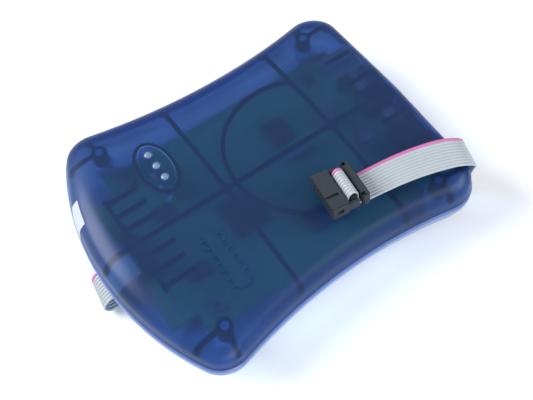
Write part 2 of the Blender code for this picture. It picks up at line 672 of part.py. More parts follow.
def usb_socket():
    z, face = BOARD_TOP + GAP, PORT_FACE_Y
    half = USB_WIDTH / 2
    shell = box("usb_socket_shell", (USB_X - half, face - USB_DEPTH, z), (USB_X + half, face, z + USB_HEIGHT),
                steel())
    mouth_half, mouth_low, mouth_high, deep = 4.4, z + 1.4, z + 9.4, 12.0
    mouth = box("usb_mouth", (USB_X - mouth_half, face - deep, mouth_low),
                (USB_X + mouth_half, face + 2, mouth_high))
    cut(shell, [mouth])
    white = material("socket_tongue_white", (0.85, 0.85, 0.83), 0.5)
    middle = (mouth_low + mouth_high) / 2
    box("usb_socket_tongue", (USB_X - 2.8, face - deep + GAP, middle - 1.6),
        (USB_X + 2.8, face - 2.4, middle + 1.6),
        white, edge=0.3)


def power_jack():
    z, face = BOARD_TOP + GAP, PORT_FACE_Y
    half, middle, deep = JACK_WIDTH / 2, z + 6.0, 9.5
    body = box("power_jack_body", (JACK_X - half, face - JACK_DEPTH, z),
               (JACK_X + half, face, z + JACK_HEIGHT), black_plastic(), edge=0.3)
    bore = cylinder("power_jack_bore", JACK_X, middle, face - deep, face + 2, 3.15, sides=24, direction="Y")
    cut(body, [bore])
    cylinder("power_jack_pin", JACK_X, middle, face - deep + GAP, face - 1.0, 1.05, steel(), 16,
             direction="Y")


def power_switch():
    z, face = BOARD_TOP + GAP, PORT_FACE_Y
    half, wall = SWITCH_WIDTH / 2, 1.2
    body = box("power_switch_body", (SWITCH_X - half, face - SWITCH_DEPTH, z),
               (SWITCH_X + half, face, z + SWITCH_HEIGHT), black_plastic(), edge=0.3)
    well = box("power_switch_well", (SWITCH_X - half + wall, face - 6.4, z + wall),
               (SWITCH_X + half - wall, face + 2, z + SWITCH_HEIGHT - wall))
    cut(body, [well])
    pivot = Vector((SWITCH_X, face - 2.6, z + SWITCH_HEIGHT / 2))
    rocker(pivot, half - wall - 0.6, SWITCH_HEIGHT / 2 - wall - 0.35)


def rocker(pivot, half_width, half_height):
    """The rocker: a shallow V in plan, with its object's origin on the upright pivot line."""
    red = material("rocker_red", (0.45, 0.03, 0.03), 0.4)
    bm = bmesh.new()
    bmesh.ops.create_grid(bm, x_segments=2, y_segments=1, size=1.0)
    for v in bm.verts:
        out = 1.9 if abs(v.co.x) > 0.5 else 0.9
        v.co = Vector((v.co.x * half_width, out, v.co.y * half_height))
    faces = bmesh.ops.extrude_face_region(bm, geom=bm.faces[:])["geom"]
    for v in [g for g in faces if isinstance(g, bmesh.types.BMVert)]:
        v.co.y = -0.6 if abs(v.co.x) > 0.5 else -2.4
        v.co.x *= 0.86
    bmesh.ops.recalc_face_normals(bm, faces=bm.faces[:])
    made = object_from(bm, "power_switch_rocker", red)
    made.matrix_world = Matrix.Translation(pivot * MM) @ Matrix.Rotation(ROCKER_TILT, 4, "Z")


# ---------- flat cable and its target socket ----------

def on_line(along, across=0.0):
    """A point of the cable's line: so far along it and to its right, as (x, y)."""
    sideways = CABLE_OFFSET + across
    return (along * sin(CABLE_HEADING) + sideways * cos(CABLE_HEADING),
            along * cos(CABLE_HEADING) - sideways * sin(CABLE_HEADING))


def turned(along, rising):
    """How far the cable has turned to its socket here: (share of the turn, sideways distance)."""
    if rising or along >= TURN_START:
        return 0.0, 0.0
    share = (TURN_START - along) / (TURN_START - TURN_END)
    return share, SOCKET_TURN * share ** 2 * (TURN_START - TURN_END) / 2


def socket_frame():
    """The target socket's frame at its pivot: x across the cable, y back along it, z up."""
    side = turned(TURN_END, False)[1]
    x, y = on_line(TURN_END, side)
    heading = CABLE_HEADING - SOCKET_TURN
    back = TURN_END - SOCKET_PIVOT[0]
    place = Matrix.Translation((x - back * sin(heading), y - back * cos(heading), SOCKET_PIVOT[1]))
    turn = Matrix.Rotation(-heading, 4, "Z") @ Matrix.Rotation(-SOCKET_ROLL, 4, "Y")
    return place @ turn @ Matrix.Rotation(SOCKET_TILT, 4, "X")


def width_direction(heading, roll):
    return Vector((cos(heading) * cos(roll), -sin(heading) * cos(roll), sin(roll)))


def cable_route():
    """The route's own points, each with the direction of the strip's width."""
    route = [(Vector((x, y, z)), width_direction(share * CABLE_HEADING, 0.0))
             for x, y, z, share in CABLE_START]
    peak = max(range(len(CABLE_LINE)), key=lambda i: CABLE_LINE[i][0])
    for i, (along, z, across) in enumerate(CABLE_LINE):
        share, side = turned(along, i <= peak)
        place = Vector((*on_line(along, across + side), z))
        route.append((place, width_direction(CABLE_HEADING - share * SOCKET_TURN, share * SOCKET_ROLL)))
    frame = socket_frame()
    for along, z in CABLE_FOLD:
        place = frame @ Vector((0.0, along - SOCKET_PIVOT[0], z - SOCKET_PIVOT[1]))
        route.append((place, frame.to_3x3() @ Vector((1.0, 0.0, 0.0))))
    return route


def smooth_route(route):
    """Sections along a Catmull-Rom curve through the route's points."""
    points = [p for p, _ in route]
    made = []
    for i in range(len(points) - 1):
        a, b, c, d = points[max(i - 1, 0)], points[i], points[i + 1], points[min(i + 2, len(points) - 1)]
        count = min(3, max(2, ceil((c - b).length / CABLE_STEP)))
        for step in range(count):
            t = step / count
            place = 0.5 * ((2 * b) + (c - a) * t + (2 * a - 5 * b + 4 * c - d) * t ** 2
                           + (3 * b - a - 3 * c + d) * t ** 3)
            made.append((place, route[i][1].lerp(route[i + 1][1], t).normalized()))
    made.append(route[-1])
    return made


def flat_cable():
    grey = material("cable_grey", (0.62, 0.66, 0.7), 0.55)
    bm = bmesh.new()
    rows = []
    for place, direction in smooth_route(cable_route()):
        across = direction * (CABLE_WIDTH / 2)
        rows.append((bm.verts.new(place - across), bm.verts.new(place + across)))
    for (a, b), (c, d) in zip(rows, rows[1:]):
        bm.faces.new((a, b, d, c))
    made = object_from(bm, "flat_cable", grey)
    strip = made.modifiers.new("thickness", "SOLIDIFY")
    strip.thickness = CABLE_THICKNESS * MM
    strip.offset = 0.0
    strip.use_even_offset = True
    smooth(made)


def target_place():
    """The target socket's frame in metres: x across, y back along the cable from the mating face, z up."""
    local = Matrix.Translation((0.0, TARGET_FACE - SOCKET_PIVOT[0], TARGET_Z - SOCKET_PIVOT[1]))
    place = socket_frame() @ local
    place.translation *= MM
    return place


def target_socket():
    place, half, high = target_place(), TARGET_WIDTH / 2, TARGET_HEIGHT
    body = box("target_socket_body", (-half, 0, 0), (half, TARGET_BODY_DEPTH, high), black_plastic(), place,
               edge=0.25)
    arm_end = TARGET_BODY_DEPTH + TARGET_CABLE_GAP + TARGET_COVER_DEPTH
    arms = [box(f"target_arm_{i}", (min(side * half, side * (half - 1.3)), TARGET_BODY_DEPTH - 1, 1.4),
                (max(side * half, side * (half - 1.3)), arm_end, high - 1.4), place=place)
            for i, side in enumerate((1, -1))]
    join(body, arms)
    holes = [box(f"contact_hole_{row}_{i}", ((i - 2) * 2.54 - 0.45, -1, high / 2 + row * 1.27 - 0.45),
                 ((i - 2) * 2.54 + 0.45, 5.0, high / 2 + row * 1.27 + 0.45), place=place)
             for row in (-1, 1) for i in range(5)]
    groove = box("target_groove", (2.6, -1, high - 0.7), (4.0, 5.2, high + 1), place=place)
    cut(body, holes + [groove])
    start = TARGET_BODY_DEPTH + TARGET_CABLE_GAP
    box("target_socket_cover", (-half + 1.6, start, 0.1),
        (half - 1.6, start + TARGET_COVER_DEPTH, high - 0.3), black_plastic(), place, edge=0.25)
    start += TARGET_COVER_DEPTH + TARGET_CABLE_GAP
    box("target_strain_relief", (-half, start, 0.45), (half, start + TARGET_RELIEF_DEPTH, high + 0.2),
        black_plastic(), place, edge=0.4)


def build():
    start_scene()
    openings = port_openings()
    top_cover(openings)
    bottom_shell(openings)
    case_screws()
    rubber_feet()
    seal_label()
    circuit_board()
    board_parts()
    indicator_lights()
    cable_clamp()
    usb_socket()
    power_jack()
    power_switch()
    flat_cable()
    target_socket()


build()
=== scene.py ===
"""Looks of the microcontroller programmer: frosted blue case, ribbed flat cable and target socket."""
import json
from math import asin, atan2, ceil, cos, hypot, pi, radians, sin, sqrt

import bmesh
import bpy
from mathutils import Matrix, Vector

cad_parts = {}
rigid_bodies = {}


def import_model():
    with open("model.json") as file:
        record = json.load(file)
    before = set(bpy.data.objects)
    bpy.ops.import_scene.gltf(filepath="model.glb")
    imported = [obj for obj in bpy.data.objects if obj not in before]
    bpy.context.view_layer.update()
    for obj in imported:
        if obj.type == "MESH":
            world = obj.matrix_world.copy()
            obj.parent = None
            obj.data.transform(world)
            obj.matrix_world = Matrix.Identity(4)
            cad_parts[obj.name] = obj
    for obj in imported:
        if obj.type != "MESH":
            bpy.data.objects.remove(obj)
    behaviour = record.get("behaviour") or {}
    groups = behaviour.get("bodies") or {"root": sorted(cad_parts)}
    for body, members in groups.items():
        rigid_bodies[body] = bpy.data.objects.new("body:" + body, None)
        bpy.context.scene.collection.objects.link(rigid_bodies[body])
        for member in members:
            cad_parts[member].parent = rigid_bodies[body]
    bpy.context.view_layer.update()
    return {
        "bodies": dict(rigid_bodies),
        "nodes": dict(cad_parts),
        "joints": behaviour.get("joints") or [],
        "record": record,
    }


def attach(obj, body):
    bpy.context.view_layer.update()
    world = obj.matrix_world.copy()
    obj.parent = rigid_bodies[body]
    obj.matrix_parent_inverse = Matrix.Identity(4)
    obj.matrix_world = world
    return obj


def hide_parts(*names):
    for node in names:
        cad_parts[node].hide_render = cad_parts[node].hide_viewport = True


MM = 0.001
GAP = 0.3  # mm between pieces that touch
FLOOR_RADIUS = 4000.0
SHARP_ANGLE = radians(30.0)  # edges that turn more than this stay sharp

# Camera, in degrees and metres
CAMERA_AZIMUTH, CAMERA_ELEVATION, CAMERA_ROLL = 54.94, 60.88, -0.603
CAMERA_TARGET = (0.78, 3.11, 0.0)  # mm
CAMERA_DISTANCE = 0.31974
CAMERA_LENS, SENSOR_WIDTH = 54.03, 36.0

# Soft light: (name, place and size in metres, power in watts, colour)
SKY_COLOUR, SKY_STRENGTH = (0.95, 0.97, 1.0, 1.0), 0.62
LIGHTS = (
    ("key_light", (-0.75, -0.85, 0.75), 0.9, 34.0, (1.0, 0.99, 0.97)),
    ("fill_light", (0.8, 1.0, 0.9), 0.9, 20.0, (0.97, 0.98, 1.0)),
    ("side_light", (1.1, -0.15, 0.5), 0.7, 9.0, (0.97, 0.98, 1.0)),
)
GRAIN_DEPTH = 0.1  # mm

# Case outline, mm
HALF_LENGTH = 69.0
WAIST_HALF_WIDTH = 48.0
WAIST_Y = 10.0
SIDE_RADIUS = 215.0
WIDE_END_RADIUS = 104.0
WIDE_CORNER_RADIUS = 12.0
NARROW_CORNER_RADIUS = 13.0
ARC_STEPS = (12, 8, 16, 8)  # wide end, wide corner, side, narrow corner

# Heights above the table, mm
UNDERSIDE_Z = 3.0
PARTING_Z = 13.5
LIP_HEIGHT = 1.4
LIP_STEP = 0.5
LIP_EDGE = 0.18
TOP_Z = 28.5
SHOULDER_Z = 20.5
CROWN_X = 0.0016
CROWN_Y = 0.0002

# Walls and ribs, mm
WALL = 2.0
WALL_DRAFT = 0.7
SIDE_SHOULDER = 6.0
WIDE_SHOULDER = 12.0
BASE_TAPER = 1.5
BASE_EDGE = 3.2
BASE_EDGE_STEPS = 6
RIB_THICKNESS = 1.6
RIB_DEPTH = 1.8
RIB_COVER = 1.0  # clear skin over the ribs
RIB_Z, SHORT_RIB_Z, RING_Z = 16.5, 20.0, 22.0  # where they start
COARSE = (6, 7.0)  # steps of the shoulder and spacing of the strips, on hidden surfaces
CROSS_RIB_YS = (-14.2, 34.0)
COMB_XS = (6.4, 13.0, 19.6)
COMB_Y = (-52.4, -40.6)
COMB_BAR_Y = -53.2
END_RIB_XS = (11.1, 24.7)
END_RIB_START_Y = 50.5
RING_CENTRE_Y = 20.0
RING_RADIUS = 29.7
RING_END_Y = 34.0  # the ring is open beyond this line
BOSS_PLACES = ((41.8, 52.3), (42.4, -43.9))
BOSS_RADIUS = 3.0
PILOT_RADIUS = 1.6
PILOT_COVER = 2.2  # plastic left over a pilot hole
SINK_DEPTH = 3.2
SINK_RADIUS = 3.2
STANDOFF_RADIUS, STANDOFF_HOLE = 2.6, 1.4

# Indicator window, emblem and seal label, mm
WINDOW_X, WINDOW_Y = -23.0, -30.0
WINDOW_LENGTH, WINDOW_WIDTH, WINDOW_DEPTH = 23.0, 12.0, 1.0
WINDOW_RIB = 1.3  # thickness of the rib round it
WINDOW_CUTTER_HEIGHT = 3.0
PIPE_PITCH = 6.1
PIPE_RADIUS = 1.5
PIPE_DOME = 0.75  # height of its rounded tip
EMBLEM_X, EMBLEM_Y = 24.0, -30.5
EMBLEM_HALF_LENGTH, EMBLEM_HALF_WIDTH = 12.0, 2.4
EMBLEM_RISE = 0.3
EMBLEM_LEGS = 7
EMBLEM_LEG_PITCH = 3.3
EMBLEM_LEG_HALF = 0.55
EMBLEM_LEG_REACH = 1.6
LABEL_X = (-28.5, -18.1)
LABEL_TOP_TURN = radians(41.0)  # how far up the shoulder's curve it reaches
LABEL_STEPS = (4, 8, 12)  # up the wall, up the shoulder and across
LABEL_CLEAR = 0.16  # how far it stands off the wall
LABEL_LIFT = 0.1
LABEL_THICKNESS = 0.1

# Circuit board and the openings of the narrow end, mm
BOARD_Z = 6.5
BOARD_TOP = 8.1
BOARD_SCREWS = ((31.0, 45.0), (31.0, -40.0))
PORT_FACE_Y = 67.0
PORTS = (("usb", -24.0, 12.0, 10.8), ("jack", -4.0, 9.0, 10.8), ("switch", 17.0, 14.0, 9.0))

# Flat cable, mm: ten wires
WIRES = 10
WIRE_PITCH = 1.27
CABLE_WIDTH = WIRES * WIRE_PITCH
CABLE_HALF = 0.45  # half its thickness on a wire
CABLE_WEB = 0.2  # and between two wires
CABLE_EDGE = 0.06  # and at the strip's two edges
WEB_NOTCH = 0.6  # share of the web's half thickness left in the groove between two wires
WIRE_SHARES = (-0.43, -0.36, -0.2, 0.0, 0.2, 0.36, 0.43)  # points across a wire, in pitches
WIRE_FLATNESS = 0.76
CABLE_HEADING = radians(17.0)
CABLE_OFFSET = 19.5
SLOT_X = -0.5
SLOT_Z = 9.8
CABLE_STEP = 1.3
# Route of the centre line inside and at the wide end: (x, y, z, share of the heading)
CABLE_START = (
    (SLOT_X, -55.0, 12.3, 0.0),
    (SLOT_X, -58.5, 12.2, 0.0),
    (SLOT_X, -61.5, 11.4, 0.0),
    (SLOT_X, -64.3, 10.1, 0.0),
    (SLOT_X, -67.0, 9.6, 0.0),
    (SLOT_X, -69.6, 8.9, 0.2),
    (SLOT_X, -71.3, 7.1, 0.4),
    (SLOT_X, -71.9, 4.9, 0.5),
    (SLOT_X + 0.1, -71.3, 2.6, 0.6),
    (SLOT_X + 0.4, -69.3, 1.1, 0.8),
)
# From under the case to where it turns to its socket: (distance along the cable's line, z, distance across)
CABLE_LINE = (
    (-64.0, 0.75, 0.0), (-56.0, 0.75, -0.3), (-40.0, 0.75, -0.8), (-20.0, 0.75, -1.5), (0.0, 0.75, -2.2),
    (20.0, 0.75, -2.9), (40.0, 0.75, -3.6), (56.0, 0.75, -4.1), (67.0, 0.8, -4.5), (73.6, 1.5, -4.7),
    (77.2, 3.6, -4.7), (79.2, 7.4, -4.7), (79.6, 12.5, -4.5), (79.4, 17.0, -4.0), (78.9, 21.0, -3.0),
    (77.5, 24.6, -1.4), (75.4, 27.8, -0.4), (72.4, 30.2, 0.0), (67.6, 31.8, 0.0), (61.0, 32.4, 0.0),
    (53.0, 32.1, 0.0), (46.0, 31.3, 0.0), (40.0, 30.3, 0.0), (35.4, 29.6, 0.0),
)
# Through the target socket: (distance along the line, z)
CABLE_FOLD = (
    (32.2, 29.35), (30.0, 29.35), (28.5, 29.85), (27.75, 31.35), (27.65, 33.65), (27.45, 35.85),
    (26.6, 37.05), (25.7, 37.4), (24.8, 37.05), (23.95, 35.85), (23.75, 33.65), (23.75, 31.25),
)
# Between these two distances the cable turns sideways and rolls, as its socket lies
TURN_START, TURN_END = 60.0, 36.0
SOCKET_TURN = radians(6.5)
SOCKET_ROLL = radians(9.0)
SOCKET_TILT = radians(3.0)
SOCKET_PIVOT = (31.2, 29.8)  # along the line and up

# Target socket, mm along the cable's line, across it and up
TARGET_FACE = 16.4
TARGET_BODY_DEPTH = 6.6
TARGET_GAP = 1.5
TARGET_COVER_DEPTH = 2.4
TARGET_RELIEF_DEPTH = 2.8
TARGET_WIDTH = 17.3
TARGET_HEIGHT = 6.1
TARGET_Z = 30.4
TARGET_ARM, TARGET_ARM_INSET = 1.3, 1.4  # thickness, and distance from the top and the underside
CONTACT_PITCH = 2.54
CONTACT_CUTS = (("contact", 0.45, 5.0), ("funnel", 0.65, 0.35))  # name, half width and depth


# ---------- camera, floor and lights ----------

def make_camera():
    azimuth, elevation, roll = (radians(a) for a in (CAMERA_AZIMUTH, CAMERA_ELEVATION, CAMERA_ROLL))
    back = Vector((sin(azimuth) * cos(elevation), -cos(azimuth) * cos(elevation), sin(elevation)))
    level = Vector((cos(azimuth), sin(azimuth), 0.0))
    right = level * cos(roll) + back.cross(level) * sin(roll)
    turn = Matrix((right, back.cross(right), back)).transposed().to_4x4()
    data = bpy.data.cameras.new("camera")
    data.lens = CAMERA_LENS
    data.sensor_width = SENSOR_WIDTH
    camera = bpy.data.objects.new("camera", data)
    camera.matrix_world = Matrix.Translation(Vector(CAMERA_TARGET) * MM + back * CAMERA_DISTANCE) @ turn
    bpy.context.scene.collection.objects.link(camera)
    bpy.context.scene.camera = camera


def area_light(name, place, size, power, colour):
    """A round lamp that shines at the origin."""
    data = bpy.data.lights.new(name, "AREA")
    data.shape = "DISK"
    data.size = size
    data.energy = power
    data.color = colour
    lamp = bpy.data.objects.new(name, data)
    lamp.location = place
    lamp.rotation_euler = Vector(place).to_track_quat("Z", "Y").to_euler()
    bpy.context.scene.collection.objects.link(lamp)


def make_stage():
    world = bpy.data.worlds.new("studio")
    world.use_nodes = True
    sky = world.node_tree.nodes["Background"]
    sky.inputs["Color"].default_value = SKY_COLOUR
    sky.inputs["Strength"].default_value = SKY_STRENGTH
    bpy.context.scene.world = world
    bpy.context.scene.view_settings.view_transform = "Standard"
    for light in LIGHTS:
        area_light(*light)
    bm = bmesh.new()
    bmesh.ops.create_circle(bm, cap_ends=True, segments=96, radius=FLOOR_RADIUS)
    floor = new_object("floor", bm, [looks["floor"]])


# ---------- materials ----------

looks = {}


def noise(nodes, links, scale, detail=3.0):
    place = nodes.new("ShaderNodeTexCoord")
    made = nodes.new("ShaderNodeTexNoise")
    made.inputs["Scale"].default_value = scale
    made.inputs["Detail"].default_value = detail
    links.new(place.outputs["Object"], made.inputs["Vector"])
    return made.outputs["Fac"]


def drifting(nodes, links, dark, light, scale):
    """A colour that drifts from dark to light over the surface."""
    colour = nodes.new("ShaderNodeMix")
    colour.data_type = "RGBA"
    colour.inputs[6].default_value = (*dark, 1.0)  # A
    colour.inputs[7].default_value = (*light, 1.0)  # B
    links.new(noise(nodes, links, scale), colour.inputs[0])
    return colour.outputs[2]


def let_light_in(made, tint):
    """Lamps shine through the surface as through tinted film, while eyes see the frosted plastic."""
    nodes, links = made.node_tree.nodes, made.node_tree.links
    film = nodes.new("ShaderNodeBsdfTransparent")
    film.inputs["Color"].default_value = (*tint, 1.0)
    path = nodes.new("ShaderNodeLightPath")
    either = nodes.new("ShaderNodeMixShader")
    links.new(path.outputs["Is Shadow Ray"], either.inputs[0])
    links.new(nodes["Principled BSDF"].outputs[0], either.inputs[1])
    links.new(film.outputs[0], either.inputs[2])
    links.new(either.outputs[0], nodes["Material Output"].inputs["Surface"])


def look(name, dark, light, rough, drift=60.0, grain=1500.0, bump=0.0, **sockets):
    """A material whose colour drifts from dark to light, and whose grain varies roughness and normal."""
    made = bpy.data.materials.new(name)
    made.use_nodes = True
    nodes, links = made.node_tree.nodes, made.node_tree.links
    shader = nodes["Principled BSDF"]
    for socket, value in sockets.items():
        shader.inputs[socket.replace("_", " ")].default_value = value
    links.new(drifting(nodes, links, dark, light, drift), shader.inputs["Base Color"])
    fine = noise(nodes, links, grain, 2.0)
    shine = nodes.new("ShaderNodeMapRange")
    shine.inputs["To Min"].default_value = rough[0]
    shine.inputs["To Max"].default_value = rough[1]
    links.new(fine, shine.inputs["Value"])
    links.new(shine.outputs["Result"], shader.inputs["Roughness"])
    if bump:
        raised = nodes.new("ShaderNodeBump")
        raised.inputs["Strength"].default_value = bump
        raised.inputs["Distance"].default_value = GRAIN_DEPTH * MM
        links.new(fine, raised.inputs["Height"])
        links.new(raised.outputs["Normal"], shader.inputs["Normal"])
    looks[name] = made
    return made


def see_through(name, tint):
    """The inner skin of a shell: it only tints what is seen through it, a little unevenly."""
    made = bpy.data.materials.new(name)
    made.use_nodes = True
    nodes, links = made.node_tree.nodes, made.node_tree.links
    nodes.remove(nodes["Principled BSDF"])
    clear = nodes.new("ShaderNodeBsdfTransparent")
    links.new(drifting(nodes, links, [c * 0.96 for c in tint], tint, 80.0), clear.inputs["Color"])
    links.new(clear.outputs[0], nodes["Material Output"].inputs["Surface"])
    looks[name] = made


def make_looks():
    look("floor", (0.60, 0.605, 0.615), (0.615, 0.62, 0.63), (0.7, 0.8), 3.0, 200.0)
    skin = look("cover_skin", (0.026, 0.070, 0.205), (0.033, 0.083, 0.238), (0.27, 0.34), 45.0, 2600.0, 0.08,
                Transmission_Weight=0.80, IOR=1.2, Coat_Weight=0.06, Coat_Roughness=0.35)
    let_light_in(skin, (0.42, 0.64, 0.88))
    # The lip is a lighter copy of the cover's plastic: painted light along the rim band, where light is piped
    # to the edge. The port openings and pipe holes cut with it take this painted light too.
    lip_painted_light = look("cover_lip_painted_light", (0.07, 0.13, 0.34), (0.09, 0.16, 0.40), (0.40, 0.50), 45.0, 2600.0, 0.1,
               Transmission_Weight=0.3, IOR=1.3, Coat_Weight=0.35, Coat_Roughness=0.14)
    let_light_in(lip_painted_light, (0.40, 0.60, 0.88))
    # The indicator window's recess walls and the pilot holes take a lighter copy of the cover's plastic:
    # painted light on these cut edges.
    edge = look("window_edge_painted_light", (0.055, 0.12, 0.30), (0.07, 0.15, 0.36), (0.3, 0.4), 45.0, 2600.0, 0.08,
                Transmission_Weight=0.3, IOR=1.3, Coat_Weight=0.3, Coat_Roughness=0.2)
    let_light_in(edge, (0.40, 0.60, 0.88))
    look("cover_rib", (0.005, 0.011, 0.042), (0.008, 0.016, 0.056), (0.5, 0.6))
    # The lower shell is a lighter, less clear copy of the cover's plastic: painted light from the white floor
    # below it.
    shell = look("base_skin_painted_light", (0.20, 0.27, 0.42), (0.25, 0.33, 0.49), (0.42, 0.52), 45.0, 2600.0, 0.12,
                 Transmission_Weight=0.3, IOR=1.3, Coat_Weight=0.1, Coat_Roughness=0.35)
    let_light_in(shell, (0.62, 0.67, 0.74))
    see_through("cover_inside", (0.88, 0.94, 1.0))
    see_through("base_inside", (0.88, 0.94, 1.0))
    look("cable_grey", (0.235, 0.265, 0.290), (0.272, 0.303, 0.328), (0.42, 0.54), 120.0, 900.0, 0.05)
    look("cable_pink", (0.31, 0.075, 0.21), (0.36, 0.095, 0.245), (0.42, 0.54), 120.0, 900.0, 0.05)
    look("socket_black", (0.003, 0.008, 0.014), (0.007, 0.014, 0.022), (0.5, 0.65), 200.0, 1800.0, 0.2)
    look("paper", (0.27, 0.30, 0.355), (0.32, 0.35, 0.405), (0.6, 0.75), 300.0, 1500.0, 0.1)
    look("clear_tip", (0.09, 0.15, 0.24), (0.17, 0.25, 0.35), (0.3, 0.45), 900.0, 1200.0, 0.3,
         Transmission_Weight=0.3)
    look("board_green", (0.012, 0.10, 0.055), (0.03, 0.17, 0.09), (0.35, 0.5), 500.0, 900.0, 0.2)
    look("chip_black", (0.016, 0.016, 0.018), (0.03, 0.03, 0.033), (0.4, 0.55), 200.0, 1500.0, 0.1)
    look("bright_metal", (0.60, 0.60, 0.62), (0.74, 0.74, 0.76), (0.22, 0.36), 300.0, 900.0, 0.05,
         Metallic=1.0)
    # A darkened copy of the bright metal for the parts inside the case: painted shade, which keeps their
    # reflections dim.
    look("inner_metal_painted_shade", (0.10, 0.10, 0.11), (0.16, 0.16, 0.17), (0.5, 0.65), 300.0, 900.0, 0.05, Metallic=0.6)
    look("white_plastic", (0.78, 0.78, 0.75), (0.86, 0.86, 0.84), (0.4, 0.5), 300.0, 900.0)
    look("rubber", (0.015, 0.015, 0.016), (0.028, 0.028, 0.03), (0.7, 0.85), 300.0, 900.0, 0.3)
    look("rocker_red", (0.40, 0.02, 0.02), (0.48, 0.035, 0.03), (0.35, 0.45), 300.0, 900.0, 0.05)


# ---------- mesh helpers, all in mm ----------

def new_object(name, bm, materials, place=None):
    bmesh.ops.scale(bm, vec=(MM, MM, MM), verts=bm.verts)
    mesh = bpy.data.meshes.new(name)
    bm.to_mesh(mesh)
    bm.free()
    for material in materials:
        mesh.materials.append(material)
    made = bpy.data.objects.new(name, mesh)
    if place is not None:
        made.matrix_world = place
    bpy.context.scene.collection.objects.link(made)
    return made


def place_at(x, y, z, turn=0.0, axis="Z"):
    return Matrix.Translation(Vector((x, y, z)) * MM) @ Matrix.Rotation(turn, 4, axis)


def smooth(made):
    made.data.shade_smooth()
    made.data.set_sharp_from_angle(angle=SHARP_ANGLE)


def block(low, high):
    bm = bmesh.new()
    bmesh.ops.create_cube(bm, size=1.0)
    low, high = Vector(low), Vector(high)
    bmesh.ops.scale(bm, vec=high - low, verts=bm.verts)
    bmesh.ops.translate(bm, vec=(low + high) / 2, verts=bm.verts)
    return bm


def box(name, low, high, material, place=None, edge=0.0):
    bm = block(low, high)
    if edge:
        bmesh.ops.bevel(bm, geom=bm.edges[:], offset=edge, segments=2, affect="EDGES")
    return new_object(name, bm, [material], place)


def cylinder(name, x, y, low, high, radius, material, sides=32):
    bm = bmesh.new()
    bmesh.ops.create_cone(bm, cap_ends=True, segments=sides, radius1=radius, radius2=radius, depth=high - low)
    bmesh.ops.translate(bm, vec=(x, y, (low + high) / 2), verts=bm.verts)
    return new_object(name, bm, [material])


def join(target, others, operation="UNION"):
    for other in others:
        change = target.modifiers.new(other.name, "BOOLEAN")
        change.operation = operation
        change.solver = "EXACT"
        change.material_mode = "TRANSFER"
        change.object = other


def cut(target, others):
    join(target, others, "DIFFERENCE")


def settle(target):
    """Applies the modifiers and removes every piece that they used."""
    used = []
    look_in = [target]
    while look_in:
        found = [m.object for m in look_in.pop().modifiers if m.type == "BOOLEAN"]
        used += found
        look_in += found
    bpy.context.view_layer.update()
    mesh = bpy.data.meshes.new_from_object(target.evaluated_get(bpy.context.evaluated_depsgraph_get()))
    target.modifiers.clear()
    target.data = mesh
    for piece in used:
        bpy.data.objects.remove(piece)


def finish_piece(piece, body, slot, *nodes):
    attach(piece, body)
    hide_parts(*nodes)


# ---------- flat cable ----------

def on_line(along, across=0.0):
    sideways = CABLE_OFFSET + across
    return (along * sin(CABLE_HEADING) + sideways * cos(CABLE_HEADING),
            along * cos(CABLE_HEADING) - sideways * sin(CABLE_HEADING))


def turned(along, rising):
    """How far the cable has turned to its socket here: (share of the turn, sideways distance)."""
    if rising or along >= TURN_START:
        return 0.0, 0.0
    share = (TURN_START - along) / (TURN_START - TURN_END)
    return share, SOCKET_TURN * share ** 2 * (TURN_START - TURN_END) / 2


def socket_frame():
    """The target socket's frame at its pivot: x across the cable, y back along it, z up."""
    side = turned(TURN_END, False)[1]
    x, y = on_line(TURN_END, side)
    heading = CABLE_HEADING - SOCKET_TURN
    back = TURN_END - SOCKET_PIVOT[0]
    place = Matrix.Translation((x - back * sin(heading), y - back * cos(heading), SOCKET_PIVOT[1]))
    turn = Matrix.Rotation(-heading, 4, "Z") @ Matrix.Rotation(-SOCKET_ROLL, 4, "Y")
    return place @ turn @ Matrix.Rotation(SOCKET_TILT, 4, "X")


def width_direction(heading, roll):
    return Vector((cos(heading) * cos(roll), -sin(heading) * cos(roll), sin(roll)))


def cable_route():
    """The route's own points, each with the direction of the strip's width."""
    route = [(Vector((x, y, z)), width_direction(share * CABLE_HEADING, 0.0))
             for x, y, z, share in CABLE_START]
    peak = max(range(len(CABLE_LINE)), key=lambda i: CABLE_LINE[i][0])
    for i, (along, z, across) in enumerate(CABLE_LINE):
        share, side = turned(along, i <= peak)
        place = Vector((*on_line(along, across + side), z))
        route.append((place, width_direction(CABLE_HEADING - share * SOCKET_TURN, share * SOCKET_ROLL)))
    frame = socket_frame()
    for along, z in CABLE_FOLD:
        place = frame @ Vector((0.0, along - SOCKET_PIVOT[0], z - SOCKET_PIVOT[1]))
        route.append((place, frame.to_3x3() @ Vector((1.0, 0.0, 0.0))))
    return route


def cable_sections():
    """The centre line's points and width directions, on a Catmull-Rom curve through the route."""
    route = cable_route()
    points = [p for p, _ in route]
    made = []
    for i in range(len(points) - 1):
        a, b, c, d = points[max(i - 1, 0)], points[i], points[i + 1], points[min(i + 2, len(points) - 1)]
        count = max(2, ceil((c - b).length / CABLE_STEP))
        for step in range(count):
            t = step / count
            place = 0.5 * ((2 * b) + (c - a) * t + (2 * a - 5 * b + 4 * c - d) * t ** 2
                           + (3 * b - a - 3 * c + d) * t ** 3)
            made.append((place, route[i][1].lerp(route[i + 1][1], t).normalized()))
    made.append(route[-1])
    return made


def cable_profile():
    """The upper side of a section, from edge to edge: (distance across, half thickness)."""
    made = []
    for wire in range(WIRES):
        centre = (wire - (WIRES - 1) / 2) * WIRE_PITCH
        for share in WIRE_SHARES:
            off = share * WIRE_PITCH
            height = sqrt(max(0.0, CABLE_HALF ** 2 - (WIRE_FLATNESS * off) ** 2))
            made.append((centre + off, max(CABLE_WEB, height)))
        if wire < WIRES - 1:
            made.append((centre + WIRE_PITCH / 2, CABLE_WEB * WEB_NOTCH))
    return [(-CABLE_WIDTH / 2, CABLE_EDGE)] + made + [(CABLE_WIDTH / 2, CABLE_EDGE)]


